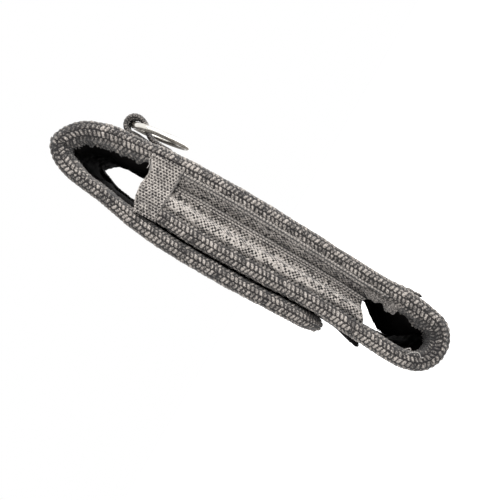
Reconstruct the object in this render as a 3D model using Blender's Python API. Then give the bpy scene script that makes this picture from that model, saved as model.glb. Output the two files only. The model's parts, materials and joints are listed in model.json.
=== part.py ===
"""Padded belt pouch: a cloth strip wraps front, bottom and back, and folds over the mouth as a flap.

Bellows gussets close the two sides, leaving the bottom corners and the space under the flap open.
The back carries a belt strap and a webbing loop with a free metal ring.
Frame: +Z up, front and flap at -Y, belt strap at +Y, width along X. Sizes are in millimetres.
"""

import math

import bmesh
import bpy
import numpy as np
from mathutils import Matrix, Vector

MM = 0.001

# Overall sizes
WIDTH = 76.0  # across the two side bindings
HEIGHT = 142.8  # bottom of the wrap to the top of the crown
BOTTOM_RADIUS = 7.9  # strip's middle line where it wraps under the pocket
MOUTH_DROP = 33.3  # front panel's top edge, below the top of the crown
FLAP_END_HEIGHT = 37.1  # lower edge of the closed flap

# The padded strip, layer by layer, with a gap between the layers
GAP = 0.3
FABRIC = 0.7
FOAM = 1.4
LINING = 0.5
TAPE = 0.9  # edge binding
TAPE_LEG = 9.0  # how far the binding reaches in from an edge
HEM_HEIGHT = 8.5  # turned hem on the mouth and on the gussets' upper ends
HEM_SOFTENING = ((0.0, 1.5), (0.7, 0.5), (1.8, 0.0))  # (from the edge, taken off the thickness)

# The strip's middle line. Panels: (share of the way up, swell outwards)
FRONT_SHAPE = ((1.0, -1.0), (0.93, -0.2), (0.8, 0.4), (0.55, 0.0), (0.31, -0.9), (0.09, 0.1))
BACK_SHAPE = ((0.18, 0.9), (0.46, 1.9), (0.6, 1.9), (0.72, 1.2), (0.84, -0.5))
# Crown and upper flap: (out from the panel's line, drop below the top)
CROWN_BACK_SHAPE = ((-1.9, 11.2), (-4.4, 5.0), (-7.5, 1.8))
CROWN_FRONT_SHAPE = ((-3.8, 0.0), (-0.7, 2.4), (1.3, 7.2), (2.3, 12.3), (3.2, 21.3), (4.3, 27.5))
FLAP_SHARES = (0.07, 0.16, 0.4, 0.63, 0.87, 1.0)  # of the way from the mouth to the flap's end

# The flap
FLAP_GAP = 0.4  # between the closed flap's binding and the front's
FLAP_CORNER = 14.0
HINGE_DROP = 3.2  # where the crown bends, below its top

# Side gussets
GUSSET_CLOTH = 1.0
GUSSET_HEM_CLOTH = 1.8
GUSSET_FOLD = 5.0  # how deep the bellows fold lies
GUSSET_INSET = 1.4  # gusset's edge, in from the side binding's edge
GUSSET_BOTTOM = 28.1
GUSSET_BOTTOM_HEM = 5.0
GUSSET_CLEARANCE = 0.45
GUSSET_FOLD_SHAPE = ((0.3, 0.5), (0.6, 1.0), (0.8, 0.4))  # (share from front to back, share of the fold)

# Hook-and-loop closure
LOOP_PILE = 1.2
LOOP_PATCH_WIDTH = 42.0
LOOP_PATCH_BELOW = 14.4  # below the flap's end
LOOP_PATCH_ABOVE = 37.4
LOOP_CURL = 1.4  # how far the patch's loose lower edge stands off
LOOP_CURL_LENGTH = 11.0
HOOK_PILE = 0.6
HOOK_PATCH_WIDTH = 38.0
HOOK_PATCH_UP = 10.9  # above the flap's end
HOOK_PATCH_HEIGHT = 24.5

# Belt strap on the back
STRAP = 1.2
STRAP_WIDTH = 38.0
STRAP_BOTTOM = 12.6
STRAP_TOP_DROP = 32.1  # below the top of the crown
STRAP_FLAT = 28.0  # length that is dead flat
STRAP_FLAT_DROP = 24.2  # from the strap's upper end to the flat
STRAP_EASE = 6.0  # straight run that leads into the flat on each side
STRAP_FLARE = 1.2  # how far the lower end stands off, where the panel curves away
STITCH_MARGIN = 3.0
STITCH_BOX = 8.0  # height of each box of stitching
THREAD_RADIUS = 0.2

# Ring and the webbing loop that holds it
RING_WIRE = 2.4
RING_INSIDE = 18.0
RING_LEAN = 8.5  # degrees, out from the back
LOOP_WEBBING = 1.6
LOOP_WIDTH = 10.0
LOOP_CLEARANCE = 0.35
LOOP_FOOT_DROP = 31.5  # lower end of the loop's tails, below the top of the crown
LOOP_TAIL = 4.5  # length sewn down
LOOP_RISE = 16.6  # eye of the loop above its foot
LOOP_STAND_OFF = 4.6  # eye's near side from the back panel's face
LOOP_TAIL_BEND = (0.22, 0.6)  # outer tail's bend: share of the way out, share of the way up


def smooth_line(points, steps=12):
    """Dense smooth curve through points: cubics whose end slopes average the neighbouring chords."""
    p = np.array(points, float)
    h = np.linalg.norm(np.diff(p, axis=0), axis=1)[:, None]
    chord = np.diff(p, axis=0) / h
    inner = (chord[:-1] * h[1:] + chord[1:] * h[:-1]) / (h[1:] + h[:-1])
    slope = np.vstack([chord[0], inner, chord[-1]])
    t = np.linspace(0, 1, steps, endpoint=False)[:, None]
    pieces = []
    for i in range(len(h)):
        places = p[i] * (2 * t**3 - 3 * t**2 + 1) + p[i + 1] * (3 * t**2 - 2 * t**3)
        slopes = slope[i] * (t**3 - 2 * t**2 + t) + slope[i + 1] * (t**3 - t**2)
        pieces.append(places + h[i] * slopes)
    return np.vstack(pieces + [p[-1:]])


class Path:
    """A smooth line in the YZ plane, read by its length s, with the normal on its right-hand side."""

    def __init__(self, points):
        self.p = smooth_line(points)
        self.s = np.r_[0, np.cumsum(np.linalg.norm(np.diff(self.p, axis=0), axis=1))]
        self.t = np.gradient(self.p, self.s, axis=0)
        self.length = self.s[-1]

    def tangent(self, s):
        t = np.array([np.interp(s, self.s, self.t[:, k]) for k in range(2)])
        return t / np.linalg.norm(t)

    def at(self, s, b=0.0):
        """Point at length s, offset b to the right. Past an end it runs straight on."""
        t = self.tangent(s)
        beyond = s - min(max(s, 0.0), self.length)
        p = np.array([np.interp(s, self.s, self.p[:, k]) for k in range(2)])
        return p + beyond * t + b * np.array([t[1], -t[0]])

    def stations(self, start, end, spacing=7.0, turn=13.0):
        """Lengths from start to end, closer together where the line turns."""
        s = np.linspace(start, end, 200)
        angle = np.unwrap([math.atan2(*self.tangent(x)) for x in s])
        cost = (s - start) / spacing
        cost += np.r_[0, np.cumsum(np.abs(np.diff(angle)))] / math.radians(turn)
        count = max(1, math.ceil(cost[-1]))
        return np.interp(np.linspace(0, cost[-1], count + 1), cost, s)

    def at_height(self, z, low, high):
        """Length at which the line passes height z, between lengths low and high."""
        span = (self.s >= low) & (self.s <= high)
        heights, lengths = self.p[span, 1], self.s[span]
        order = np.argsort(heights)
        return np.interp(z, heights[order], lengths[order])


PANEL = FABRIC + FOAM + LINING + 2 * GAP
FACE = PANEL / 2  # panel's faces from its middle line
BOUND = PANEL + 2 * (GAP + TAPE)  # thickness over the binding
HALF = WIDTH / 2
PANEL_HALF = HALF - TAPE - GAP
MOUTH = HEIGHT - MOUTH_DROP
WRAP_CENTRE = BOTTOM_RADIUS + BOUND / 2
LINE_TOP = HEIGHT - BOUND / 2  # strip's middle line at the top of the crown


def front_line():
    rise = MOUTH - WRAP_CENTRE
    return [(-BOTTOM_RADIUS - swell, WRAP_CENTRE + share * rise) for share, swell in FRONT_SHAPE]


def strip_line():
    """Middle line: down the front, under the pocket, up the back, over the mouth, down the flap."""
    wrap = [
        (-BOTTOM_RADIUS * math.cos(a), WRAP_CENTRE - BOTTOM_RADIUS * math.sin(a))
        for a in np.linspace(0, math.pi, 7)
    ]
    rise = LINE_TOP - WRAP_CENTRE
    back = [(BOTTOM_RADIUS + swell, WRAP_CENTRE + share * rise) for share, swell in BACK_SHAPE]
    crown = [(BOTTOM_RADIUS + out, LINE_TOP - drop) for out, drop in CROWN_BACK_SHAPE]
    crown += [(-BOTTOM_RADIUS - out, LINE_TOP - drop) for out, drop in CROWN_FRONT_SHAPE]
    front = Path(front_line())
    flap = []
    for share in FLAP_SHARES:
        z = MOUTH - share * (MOUTH - FLAP_END_HEIGHT)
        y = front.at(front.at_height(z, 0, front.length))[0]
        flap.append((y - BOUND - FLAP_GAP, z))
    return front_line() + wrap + back + crown + flap


STRIP = Path(strip_line())
BOTTOM_S = STRIP.s[np.argmin(STRIP.p[:, 1])]
TOP_S = STRIP.s[np.argmax(STRIP.p[:, 1])]


def on_front(z):
    return STRIP.at_height(z, 0, BOTTOM_S)


def on_back(z):
    return STRIP.at_height(z, BOTTOM_S, TOP_S)


def on_flap(z):
    return STRIP.at_height(z, TOP_S, STRIP.length)


def back_face(z):
    """Y of the back panel's outer face at height z."""
    return STRIP.at(on_back(z), FACE)[0]


LIFT_S = on_back(LINE_TOP - HINGE_DROP)
FOLD_S = on_flap(LINE_TOP - HINGE_DROP)
LIFT_AXIS = STRIP.at(LIFT_S, BOUND / 2)  # on the outer face, so the gap opens as the flap lifts
FOLD_AXIS = STRIP.at(FOLD_S, BOUND / 2)

STRAP_TOP = HEIGHT - STRAP_TOP_DROP
LOOP_FOOT = HEIGHT - LOOP_FOOT_DROP
RING_RADIUS = (RING_INSIDE + RING_WIRE) / 2
SAGITTA = RING_RADIUS - math.sqrt(RING_RADIUS**2 - (LOOP_WIDTH / 2) ** 2)
EYE_RADIUS = SAGITTA / 2 + RING_WIRE / 2 + LOOP_CLEARANCE
EYE_Z = LOOP_FOOT + LOOP_RISE
EYE_Y = back_face(EYE_Z) + LOOP_STAND_OFF + EYE_RADIUS
RING_HANG = RING_RADIUS - SAGITTA / 2  # from the eye's axis to the ring's centre
LEAN = math.radians(RING_LEAN)

FRONT_MOST = min(STRIP.at(s, BOUND / 2)[0] for s in STRIP.stations(TOP_S, STRIP.length, 1.0))
RING_BACK = EYE_Y + (RING_HANG + RING_RADIUS) * math.sin(LEAN) + RING_WIRE / 2
BACK_MOST = max(RING_BACK, EYE_Y + EYE_RADIUS + LOOP_WEBBING)
CENTRE_Y = (FRONT_MOST + BACK_MOST) / 2  # moved to the origin, so the base stands centred


def clear_scene():
    for obj in list(bpy.data.objects):
        bpy.data.objects.remove(obj)


def collection(name):
    made = bpy.data.collections.new(name)
    bpy.context.scene.collection.children.link(made)
    return made


def empty(name, y, z, parent=None):
    """Empty that carries pieces, at (y, z) in its parent's frame."""
    made = bpy.data.objects.new(name, None)
    bpy.context.scene.collection.objects.link(made)
    made.location = Vector((0, y, z)) * MM
    made.parent = parent
    return made


def material(name, colour, roughness, metallic=0.0):
    made = bpy.data.materials.new(name)
    made.use_nodes = True
    shader = made.node_tree.nodes["Principled BSDF"]
    shader.inputs["Base Color"].default_value = (*colour, 1)
    shader.inputs["Roughness"].default_value = roughness
    shader.inputs["Metallic"].default_value = metallic
    return made


def place(name, data, look, carrier=None):
    """Adds one named part. Its points are in the frame's coordinates, whatever carries it."""
    obj = bpy.data.objects.new(name, data)
    PARTS.objects.link(obj)
    obj.parent = carrier or FRAME
    if carrier:
        obj.location = -carrier.location
    data.materials.append(LOOKS[look])
    return obj


def loft(name, rings, look, carrier=None):
    """Bridges closed rings of (x, y, z) points, in order, and caps the two ends."""
    bm = bmesh.new()
    loops = []
    for ring in rings:
        verts = [bm.verts.new(Vector(p) * MM) for p in ring]
        loops.append([bm.edges.new((a, b)) for a, b in zip(verts, verts[1:] + verts[:1])])
    for a, b in zip(loops, loops[1:]):
        bmesh.ops.bridge_loops(bm, edges=a + b)
    for loop in (loops[0], loops[-1]):
        bmesh.ops.contextual_create(bm, geom=loop)
    bmesh.ops.recalc_face_normals(bm, faces=bm.faces)
    mesh = bpy.data.meshes.new(name)
    bm.to_mesh(mesh)
    bm.free()
    mesh.shade_smooth()
    mesh.set_sharp_from_angle(angle=math.radians(35))
    return place(name, mesh, look, carrier)


def slab_ring(path, s, half, low, high):
    """Rectangle across a path at s: x from -half to half, offset from low to high."""
    inner, outer = path.at(s, low), path.at(s, high)
    return [(-half, *inner), (half, *inner), (half, *outer), (-half, *outer)]


def slab(name, path, start, end, half, low, high, look, corner=0.0, carrier=None):
    """A flat layer that follows the path, with its far corners rounded if asked."""
    rings = [slab_ring(path, s, half, low, high) for s in path.stations(start, end - corner)]
    for a in np.linspace(0, math.pi / 2, 6)[1:] if corner else ():
        s = end - corner + corner * math.sin(a)
        rings.append(slab_ring(path, s, half - corner + corner * math.cos(a), low, high))
    return loft(name, rings, look, carrier)


def layers(prefix, start, end, corner=0.0, carrier=None):
    """Outer fabric, foam and lining of one stretch of the strip."""
    foam_top = FACE - FABRIC - GAP
    stack = (
        ("_fabric", FACE - FABRIC, FACE, "cloth"),
        ("_foam", foam_top - FOAM, foam_top, "foam"),
        ("_lining", -FACE, -FACE + LINING, "lining"),
    )
    for word, low, high, look in stack:
        slab(prefix + word, STRIP, start, end, PANEL_HALF, low, high, look, corner, carrier)


def tape_section():
    """The folded binding: pairs of (distance in from the edge, offset from the middle line)."""
    r = BOUND / 2
    wall = FACE + GAP
    fold = [(r - r * math.sin(a), r * math.cos(a)) for a in np.linspace(0, math.pi, 5)]
    outside = [(TAPE_LEG, r)] + fold + [(TAPE_LEG, -r)]
    return outside + [(TAPE_LEG, -wall), (TAPE, -wall), (TAPE, wall), (TAPE_LEG, wall)]


def side_tape(name, start, end, side, carrier=None):
    """Binding along one side edge, side being 1 or -1."""
    section = tape_section()
    rings = [
        [(side * (HALF - a), *STRIP.at(s, b)) for a, b in section]
        for s in STRIP.stations(start, end)
    ]
    loft(name, rings, "tape", carrier)


def flap_tape(carrier):
    """Binding down one side of the flap, round its end and up the other side."""
    turn = STRIP.length - FLAP_CORNER
    edge = [((s, HALF), (0, -1)) for s in STRIP.stations(FOLD_S + GAP / 2, turn)]
    for a in np.linspace(0, math.pi / 2, 6)[1:]:
        out_s, out_x = math.sin(a), math.cos(a)
        corner = (turn + FLAP_CORNER * out_s, HALF - FLAP_CORNER + FLAP_CORNER * out_x)
        edge.append((corner, (-out_s, -out_x)))
    mirrored = [((s, -x), (in_s, -in_x)) for (s, x), (in_s, in_x) in edge[::-1]]
    rings = [
        [(x + a * in_x, *STRIP.at(s + a * in_s, b)) for a, b in tape_section()]
        for (s, x), (in_s, in_x) in edge + mirrored
    ]
    loft("flap_binding", rings, "tape", carrier)


def cut(obj, cutter):
    """Subtracts the cutter, which stays in its own collection as a hidden helper."""
    PARTS.objects.unlink(cutter)
    CUTTERS.objects.link(cutter)
    cutter.hide_render = True
    cutter.display_type = "WIRE"
    boolean = obj.modifiers.new("slot", "BOOLEAN")
    boolean.operation = "DIFFERENCE"
    boolean.object = cutter


def mouth_hem():
    """The hem that caps the front panel's top edge, open below for the panel."""
    half_thick = BOUND / 2
    rings = [
        slab_ring(STRIP, s, HALF - less, less - half_thick, half_thick - less)
        for s, less in HEM_SOFTENING + ((HEM_HEIGHT, 0.0),)
    ]
    hem = loft("mouth_hem", rings, "gusset")
    slot = FACE + GAP
    slot_rings = [
        slab_ring(STRIP, s, HALF - TAPE, -slot, slot)
        for s in (TAPE, HEM_HEIGHT / 2, HEM_HEIGHT + 2 * TAPE)
    ]
    cut(hem, loft("mouth_hem_slot", slot_rings, "gusset"))


def gusset_section(z, side, cloth):
    """Closed ring round the folded gusset cloth at height z."""
    front = STRIP.at(on_front(z), -BOUND / 2)[0] + GUSSET_CLEARANCE
    back = STRIP.at(on_back(z), -BOUND / 2)[0] - GUSSET_CLEARANCE
    edge = HALF - GUSSET_INSET
    middle = [(edge, front)]
    middle += [
        (edge - share * GUSSET_FOLD, front + across * (back - front))
        for across, share in GUSSET_FOLD_SHAPE
    ]
    middle = np.array(middle + [(edge, back)])
    along = np.gradient(middle, axis=0)
    along /= np.linalg.norm(along, axis=1)[:, None]
    outwards = np.c_[along[:, 1], -along[:, 0]]
    outwards[0] = outwards[-1] = (1, 0)  # square ends stay clear of the bindings
    ring = np.vstack([middle + outwards * cloth / 2, (middle - outwards * cloth / 2)[::-1]])
    return [(side * x, y, z) for x, y in ring]


def gusset(side_name, side):
    """Gusset cloth with a turned hem at each end, each hem its own piece."""
    top_hem = MOUTH - HEM_HEIGHT
    bottom_hem = GUSSET_BOTTOM + GUSSET_BOTTOM_HEM
    spans = (
        ("gusset_", bottom_hem + GAP, top_hem - GAP, 9, GUSSET_CLOTH),
        ("gusset_top_hem_", top_hem, MOUTH, 3, GUSSET_HEM_CLOTH),
        ("gusset_bottom_hem_", GUSSET_BOTTOM, bottom_hem, 3, GUSSET_HEM_CLOTH),
    )
    for word, low, high, count, cloth in spans:
        rings = [gusset_section(z, side, cloth) for z in np.linspace(low, high, count)]
        loft(word + side_name, rings, "gusset")


def loop_patch():
    """Loop pile on the front panel, its loose lower edge curling outwards."""
    start = on_front(FLAP_END_HEIGHT + LOOP_PATCH_ABOVE)
    end = on_front(FLAP_END_HEIGHT - LOOP_PATCH_BELOW)
    points = []
    for s in np.linspace(start, end, 12):
        curl = max(0.0, 1 - (end - s) / LOOP_CURL_LENGTH)
        points.append(STRIP.at(s, FACE + GAP + LOOP_PILE / 2 + LOOP_CURL * curl**2))
    path = Path(points)
    half = LOOP_PILE / 2
    slab("loop_patch", path, 0, path.length, LOOP_PATCH_WIDTH / 2, -half, half, "pile")


def hook_patch(carrier):
    """Hook pile inside the flap."""
    low = FLAP_END_HEIGHT + HOOK_PATCH_UP
    start, end = on_flap(low + HOOK_PATCH_HEIGHT), on_flap(low)
    top = -FACE - GAP
    half = HOOK_PATCH_WIDTH / 2
    slab("hook_patch", STRIP, start, end, half, top - HOOK_PILE, top, "pile", carrier=carrier)


def strap_path():
    """Belt strap's middle line, just off the back panel, with one dead flat stretch."""
    rest = GAP + STRAP / 2
    high = STRAP_TOP - STRAP_FLAT_DROP
    low = high - STRAP_FLAT
    flat = max(back_face(z) for z in np.linspace(low - STRAP_EASE, high + STRAP_EASE, 9))
    lead_in = low - 2 * STRAP_EASE
    points = []
    for share in (1.0, 0.6, 0.0):
        z = lead_in + share * (STRAP_BOTTOM - lead_in)
        points.append((back_face(z) + rest + share**3 * STRAP_FLARE, z))
    points += [(flat + rest, z) for z in (low - STRAP_EASE, low, high, high + STRAP_EASE)]
    points += [(back_face(z) + rest, z) for z in (high + 2 * STRAP_EASE, STRAP_TOP)]
    return Path(points)


def belt_strap():
    """The strap, and a box of stitches at each end."""
    path = strap_path()
    slab("belt_strap", path, 0, path.length, STRAP_WIDTH / 2, -STRAP / 2, STRAP / 2, "tape")
    starts = (STITCH_MARGIN, path.length - STITCH_MARGIN - STITCH_BOX)
    for name, s in zip(("strap_stitching_lower", "strap_stitching_upper"), starts):
        stitch_box(name, path, s, s + STITCH_BOX)


def stitch_box(name, path, start, end):
    """One thread that runs round a box of stitches on the strap."""
    lift = STRAP / 2 + GAP + THREAD_RADIUS
    half = STRAP_WIDTH / 2 - STITCH_MARGIN
    corners = [(half, start), (half, end), (-half, end), (-half, start)]
    curve = bpy.data.curves.new(name, "CURVE")
    curve.dimensions = "3D"
    curve.bevel_depth = THREAD_RADIUS * MM
    curve.bevel_resolution = 1
    line = curve.splines.new("POLY")
    line.points.add(len(corners) - 1)
    for point, (x, s) in zip(line.points, corners):
        point.co = (*(Vector((x, *path.at(s, lift))) * MM), 1)
    line.use_cyclic_u = True
    place(name, curve, "thread")


def ring_loop():
    """Webbing folded round the ring, its two tails one on the other against the back panel."""
    half = LOOP_WEBBING / 2
    reach = EYE_RADIUS + half
    sewn_top = LOOP_FOOT + LOOP_TAIL
    inner = back_face(LOOP_FOOT) + GAP + half
    outer = inner + LOOP_WEBBING + GAP
    out_share, up_share = LOOP_TAIL_BEND
    eye = [
        (EYE_Y - reach * math.cos(a), EYE_Z + reach * math.sin(a))
        for a in np.linspace(-0.35, math.pi + 0.1, 9)
    ]
    bend = (outer + out_share * (EYE_Y + reach - outer), LOOP_FOOT + up_share * LOOP_RISE)
    points = [(inner, LOOP_FOOT), (back_face(sewn_top) + GAP + half, sewn_top)]
    path = Path(points + eye + [bend, (outer, LOOP_FOOT)])
    slab("ring_loop", path, 0, path.length, LOOP_WIDTH / 2, -half, half, "tape")


def carry_ring():
    """Plain welded ring, its origin on the eye's axis."""
    bpy.ops.mesh.primitive_torus_add(
        major_radius=RING_RADIUS * MM,
        minor_radius=RING_WIRE / 2 * MM,
        major_segments=32,
        minor_segments=10,
    )
    torus = bpy.context.object
    mesh = torus.data
    bpy.data.objects.remove(torus)
    stand = Matrix.Rotation(math.pi / 2, 4, "X")
    mesh.transform(Matrix.Translation((0, 0, -RING_HANG * MM)) @ stand)
    mesh.shade_smooth()
    ring = place("carry_ring", mesh, "metal")
    ring.location = Vector((0, EYE_Y, EYE_Z)) * MM
    ring.rotation_euler = (LEAN, 0, 0)


clear_scene()
PARTS = collection("belt_pouch")
CUTTERS = collection("cutters")
LOOKS = {
    "cloth": material("cloth", (0.14, 0.13, 0.12), 0.9),
    "tape": material("tape", (0.2, 0.18, 0.165), 0.85),
    "gusset": material("gusset", (0.32, 0.3, 0.28), 0.8),
    "lining": material("lining", (0.006, 0.006, 0.007), 0.8),
    "foam": material("foam", (0.05, 0.05, 0.05), 0.95),
    "pile": material("pile", (0.01, 0.01, 0.011), 0.95),
    "thread": material("thread", (0.3, 0.28, 0.26), 0.7),
    "metal": material("metal", (0.75, 0.73, 0.68), 0.25, 1.0),
}
FRAME = empty("pouch_frame", -CENTRE_Y, 0)
CROWN_HINGE = empty("crown_hinge", *LIFT_AXIS, FRAME)
FLAP_HINGE = empty("flap_hinge", *FOLD_AXIS, FRAME)

layers("body", TAPE + GAP, LIFT_S - GAP / 2)
layers("crown", LIFT_S + GAP / 2, FOLD_S - GAP / 2, carrier=CROWN_HINGE)
layers(
    "flap",
    FOLD_S + GAP / 2,
    STRIP.length - TAPE - GAP,
    corner=FLAP_CORNER - TAPE - GAP,
    carrier=FLAP_HINGE,
)
for side_word, sign in (("left", -1), ("right", 1)):
    side_tape("side_binding_" + side_word, HEM_HEIGHT + GAP, LIFT_S - GAP / 2, sign)
    side_tape("crown_binding_" + side_word, LIFT_S + GAP / 2, FOLD_S - GAP / 2, sign, CROWN_HINGE)
    gusset(side_word, sign)
flap_tape(FLAP_HINGE)
mouth_hem()
loop_patch()
hook_patch(FLAP_HINGE)
belt_strap()
ring_loop()
carry_ring()
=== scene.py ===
"""Visible model of the belt pouch: bound padded strip, folded gussets, patches, strap, loop and ring.

Each piece is swept along the strip's middle line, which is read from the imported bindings.
Lengths are in millimetres until a mesh is made. x runs across the pouch, s along the line, b out of it.
"""

import json
import math

import bmesh
import bpy
import numpy as np
from mathutils import Matrix, Vector


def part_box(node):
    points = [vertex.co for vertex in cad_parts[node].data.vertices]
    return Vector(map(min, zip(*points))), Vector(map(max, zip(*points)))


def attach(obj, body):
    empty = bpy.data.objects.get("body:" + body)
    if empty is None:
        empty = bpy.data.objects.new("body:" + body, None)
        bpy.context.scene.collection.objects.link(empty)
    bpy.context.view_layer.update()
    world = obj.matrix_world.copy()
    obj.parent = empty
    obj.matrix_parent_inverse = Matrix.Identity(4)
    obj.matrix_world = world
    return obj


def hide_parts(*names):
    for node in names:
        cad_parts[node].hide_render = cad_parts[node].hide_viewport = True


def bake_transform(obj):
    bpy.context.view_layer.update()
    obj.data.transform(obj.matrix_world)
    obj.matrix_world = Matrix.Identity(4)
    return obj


MM = 0.001
SEED = 11
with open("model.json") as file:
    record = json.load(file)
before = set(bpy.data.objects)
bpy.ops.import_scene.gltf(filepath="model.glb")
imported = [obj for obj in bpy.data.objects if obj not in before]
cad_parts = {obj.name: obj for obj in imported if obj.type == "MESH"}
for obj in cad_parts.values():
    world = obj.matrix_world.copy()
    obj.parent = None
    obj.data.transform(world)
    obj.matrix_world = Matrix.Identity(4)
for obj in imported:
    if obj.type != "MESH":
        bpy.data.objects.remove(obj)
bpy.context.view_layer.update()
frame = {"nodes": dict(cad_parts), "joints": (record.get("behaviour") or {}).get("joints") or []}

# The padded strip and its binding
TAPE_LEG = 9.0
TAPE = 0.9
LINING = 0.5
HEM = 8.5
CORNER = 14.0
PANEL_IN = 1.2  # the panels start and end this far in from the strip's ends
JOIN_GAP = 0.05  # between the two sets of swept pieces
LEG_STITCHES = 7.6  # stitch line, in from the binding's edge

# Relief of the cloths
RIB = 1.47  # pitch of the tape's ribs
COLUMN = 2.15  # width of one column of ribs
RIB_SLANT = 0.55
RIB_HEIGHT = 0.55
WEAVE = 0.66  # gusset cloth's pitch
NET = (1.12, 0.92)  # hem cloth's holes, along and across

# Gusset: (share of the way from front to back, depth in from the pouch's side)
GUSSET_PROFILE = (
    (0.0, 2.2),
    (0.06, 1.9),
    (0.15, 1.0),
    (0.24, 0.9),
    (0.32, 1.9),
    (0.4, 3.3),
    (0.48, 3.7),
    (0.55, 3.2),
    (0.63, 3.2),
    (0.72, 4.9),
    (0.8, 4.9),
    (0.9, 3.3),
    (1.0, 2.2),
)
GUSSET_LAP = 1.5  # cloth lies this far over the back binding
HEM_LAP = (5.55, 2.4)  # hem lies this far over the front and the back binding
GUSSET_LOW = ((0.0, -0.5), (0.15, 0.5), (0.35, 2.2), (0.6, 3.4), (0.75, 1.5), (0.85, -1.0), (1.0, -3.0))
GUSSET_HIGH = ((-0.45, -1.2), (-0.1, 0.6), (0.3, 1.3), (0.65, 0.8), (0.85, 0.7), (1.15, 2.6))
CORDS = (0.6, 0.665)  # the two ribs along the fold
# Tone of the gusset's cloth, darker in its folds, where it is partly painted shade and partly the cloth's
# own tone: (share of the way from front to back, tone)
FOLD_SHADE_TONE = (
    (0.0, 0.8),
    (0.12, 1.05),
    (0.27, 1.15),
    (0.38, 0.95),
    (0.47, 0.7),
    (0.54, 0.9),
    (0.68, 0.95),
    (0.72, 0.66),
    (0.9, 0.66),
    (1.0, 0.9),
)
# Crumpled end of the gusset's cloth in the bottom corner: (height, thickness each way)
TUCK = ((19.5, 0.3), (20.5, 2.1), (23.0, 2.4), (25.5, 1.5), (28.0, 2.0), (31.0, 1.8), (35.0, 0.5))

# Loose thread ends: (out from the side, y, z)
STRAY = (
    ((-0.6, 6.4, 111.6), (0.4, 5.0, 112.4), (0.2, 3.6, 111.4), (-0.3, 2.2, 111.5)),
    (
        (-0.8, -7.2, 11.2),
        (0.2, -5.8, 10.4),
        (0.3, -4.8, 9.2),
        (0.1, -4.5, 7.9),
        (0.2, -5.6, 6.8),
        (0.0, -5.0, 5.9),
    ),
    ((-1.6, -6.4, 12.6), (-0.5, -5.2, 11.8), (-0.3, -4.6, 11.0), (-0.6, -5.3, 10.4)),
)

# How far the lining hangs off the back panel in the bottom corner: (height, depth)
CORNER_HANG = (
    (3.0, 0.5),
    (7.0, 6.0),
    (11.0, 10.2),
    (15.0, 10.6),
    (17.5, 9.7),
    (20.0, 8.2),
    (22.5, 6.4),
    (25.5, 4.0),
    (30.0, 0.8),
    (34.0, 0.0),
)
# How far it hangs off the back panel inside the crown: (height, depth)
CROWN_HANG = (
    (104.0, 0.0),
    (112.0, 4.8),
    (117.0, 5.3),
    (122.0, 5.3),
    (127.0, 4.5),
    (132.0, 4.5),
    (137.0, 5.0),
)

# Webbing that holds the ring
LOOP_THICK = 1.9
LOOP_SEWN = 4.5  # length of its tails that is sewn down


def smooth_line(points, steps=10):
    """Dense smooth curve through points: cubics whose end slopes average the neighbouring chords."""
    p = np.array(points, float)
    h = np.linalg.norm(np.diff(p, axis=0), axis=1)[:, None]
    chord = np.diff(p, axis=0) / h
    inner = (chord[:-1] * h[1:] + chord[1:] * h[:-1]) / (h[1:] + h[:-1])
    slope = np.vstack([chord[0], inner, chord[-1]])
    t = np.linspace(0, 1, steps, endpoint=False)[:, None]
    pieces = []
    for i in range(len(h)):
        places = p[i] * (2 * t**3 - 3 * t**2 + 1) + p[i + 1] * (3 * t**2 - 2 * t**3)
        slopes = slope[i] * (t**3 - 2 * t**2 + t) + slope[i + 1] * (t**3 - t**2)
        pieces.append(places + h[i] * slopes)
    return np.vstack(pieces + [p[-1:]])


class Line:
    """A smooth line in the YZ plane, read by its length s, with its outer side on the right."""

    def __init__(self, points):
        self.p = smooth_line(points)
        self.s = np.r_[0, np.cumsum(np.linalg.norm(np.diff(self.p, axis=0), axis=1))]
        self.t = np.gradient(self.p, self.s, axis=0)
        self.length = self.s[-1]

    def at(self, s, b=0.0):
        """Points at lengths s, offset b to the right. Past an end the line runs straight on."""
        s, b = np.broadcast_arrays(s, b)
        t = np.stack([np.interp(s, self.s, self.t[:, k]) for k in (0, 1)], -1)
        t /= np.linalg.norm(t, axis=-1, keepdims=True)
        p = np.stack([np.interp(s, self.s, self.p[:, k]) for k in (0, 1)], -1)
        beyond = (s - np.clip(s, 0, self.length))[..., None]
        normal = np.stack([t[..., 1], -t[..., 0]], -1)
        return p + beyond * t + b[..., None] * normal

    def bend(self, s):
        """How sharply the line turns at lengths s: 0 where it is straight, 1 round the ends."""
        turn = np.unwrap(np.arctan2(self.t[:, 1], self.t[:, 0]))
        return np.clip(np.interp(s, self.s, np.abs(np.gradient(turn, self.s))) * 8, 0, 1)

    def at_height(self, z, low, high):
        """Lengths at which the line passes heights z, between lengths low and high."""
        span = (self.s >= low) & (self.s <= high)
        heights, lengths = self.p[span, 1], self.s[span]
        order = np.argsort(heights)
        return np.interp(z, heights[order], lengths[order])


def corners(node):
    """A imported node's vertices."""
    return np.array([v.co for v in frame["nodes"][node].data.vertices]) / MM


def side_points(node):
    """(y, z) of a node's vertices on its outermost side, each once."""
    co = corners(node)
    return np.unique(co[co[:, 0] > co[:, 0].max() - 0.01][:, 1:].round(3), axis=0)


def chained(points, first):
    """The points in order: the nearest to first, then each time the nearest one left."""
    left, here, chain = list(points), np.array(first, float), []
    while left:
        here = left.pop(int(np.argmin([np.linalg.norm(p - here) for p in left])))
        chain.append(here)
    return chain


def layer_middle(node):
    """Middle line of a flat layer that runs up or down: the mean of its two faces' points."""
    points = side_points(node)
    points = points[np.argsort(points[:, 1])]
    return points.reshape(-1, 2, 2).mean(axis=1)


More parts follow.
